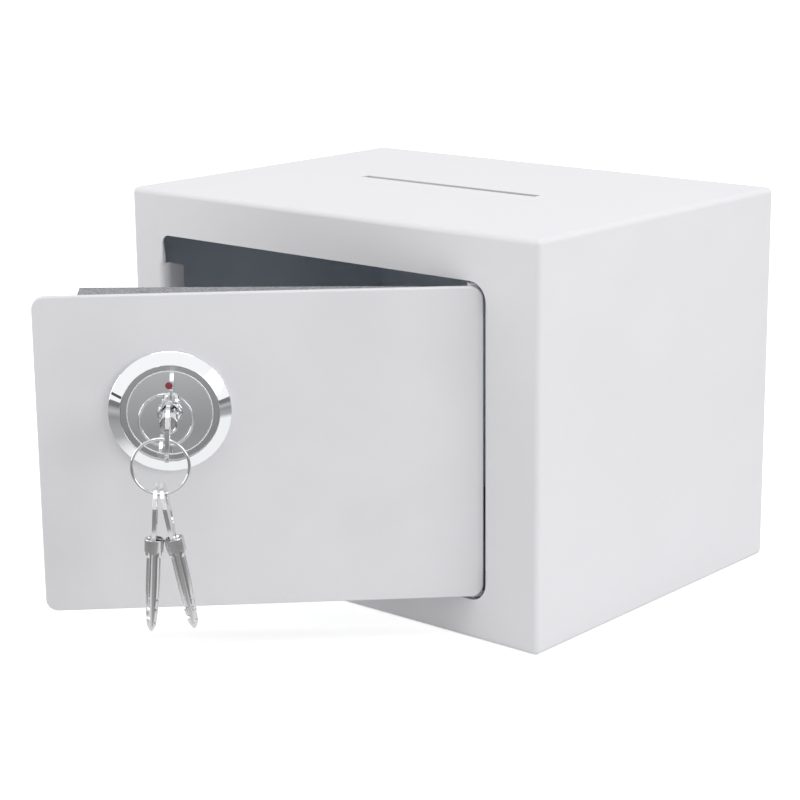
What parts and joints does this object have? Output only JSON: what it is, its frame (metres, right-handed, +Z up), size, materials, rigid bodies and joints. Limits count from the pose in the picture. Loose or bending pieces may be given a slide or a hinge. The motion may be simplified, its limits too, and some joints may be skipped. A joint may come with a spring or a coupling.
{
  "type": "deposit safe",
  "caption": "Small light grey steel deposit safe with a slot in its top, a thick hinged door, a dial lock with a cross key, spare keys on a ring and a sliding round bolt",
  "frame": {"origin": "centre of the underside of the cabinet", "axes": "+X right seen from the front, +Y to the back, +Z up; the door is stored 45 degrees open"},
  "size_m": [0.23, 0.2966, 0.17],
  "materials": {
    "cabinet_paint": "fine textured light grey powder coat",
    "door_paint": "fine textured light grey powder coat",
    "mat_felt": "dark felt",
    "zinc_steel": "bright zinc",
    "lock_brass": "machined",
    "chrome": "polished chrome",
    "red_mark": "gloss",
    "black_mark": "gloss",
    "nickel_steel": "nickel plate"
  },
  "bodies": {
    "cabinet": {"body_shell": "cabinet_paint", "back_panel": "cabinet_paint", "floor_mat": "mat_felt", "upper_hinge_bracket": "cabinet_paint", "lower_hinge_bracket": "cabinet_paint", "hinge_washers": "zinc_steel", "door_stops": "cabinet_paint"},
    "door": {"door_plate": "door_paint", "hinge_blocks": "cabinet_paint", "upper_hinge_pin": "zinc_steel", "lower_hinge_pin": "zinc_steel", "door_pan": "door_paint", "pan_studs": "zinc_steel", "pan_nuts": "zinc_steel", "lock_bezel": "chrome", "index_mark": "black_mark", "lock_housing": "lock_brass", "lock_nut": "zinc_steel", "lock_sleeve": "lock_brass", "driver_pins": "zinc_steel", "pin_springs": "zinc_steel", "guide_posts": "zinc_steel", "guide_clips": "zinc_steel", "bolt_guide": "zinc_steel"},
    "barrel": {"plug": "chrome", "key_pins": "zinc_steel", "dial": "chrome", "dial_dot": "red_mark", "cam": "zinc_steel", "cam_pin": "zinc_steel", "cam_nut": "zinc_steel"},
    "boltwork": {"bolt_carrier": "zinc_steel", "locking_bolt": "zinc_steel", "bolt_rivet": "zinc_steel"},
    "key_1": {"key_shank_1": "nickel_steel", "key_bow_1": "nickel_steel"},
    "ring": {"key_ring": "nickel_steel"},
    "key_2": {"key_shank_2": "nickel_steel", "key_bow_2": "nickel_steel"},
    "key_3": {"key_shank_3": "nickel_steel", "key_bow_3": "nickel_steel"}
  },
  "joints": [
    {"name": "door_swing", "type": "hinge", "parent": "cabinet", "child": "door", "pos_m": [0.0803, -0.0816, 0.0835], "axis": [0, 0, 1], "range_deg": [-45, 55]},
    {"name": "key_turn", "type": "hinge", "parent": "door", "child": "barrel", "pos_m": [-0.00215, -0.1714, 0.1013], "axis": [0.7071, -0.7071, 0], "range_deg": [0, 70]},
    {"name": "bolt_slide", "type": "slide", "parent": "door", "child": "boltwork", "axis": [-0.7071, -0.7071, 0], "range_m": [0, 0.00643]},
    {"name": "key_pull", "type": "slide", "parent": "barrel", "child": "key_1", "axis": [0.7071, -0.7071, 0], "range_m": [0, 0.035]},
    {"name": "ring_swing", "type": "hinge", "parent": "key_1", "child": "ring", "pos_m": [0.02557, -0.19912, 0.09965], "axis": [0.7071, 0.7071, 0], "range_deg": [-60, 15]},
    {"name": "key_2_swing", "type": "hinge", "parent": "ring", "child": "key_2", "pos_m": [0.02182, -0.20287, 0.07852], "axis": [0.7071, 0.7071, 0], "range_deg": [-45, 15]},
    {"name": "key_3_swing", "type": "hinge", "parent": "ring", "child": "key_3", "pos_m": [0.02423, -0.20047, 0.07833], "axis": [0.7071, 0.7071, 0], "range_deg": [-45, 15]}
  ],
  "couplings": [
    {"joint": "bolt_slide", "follows": "key_turn", "m_per_rad": 0.0052582}
  ]
}
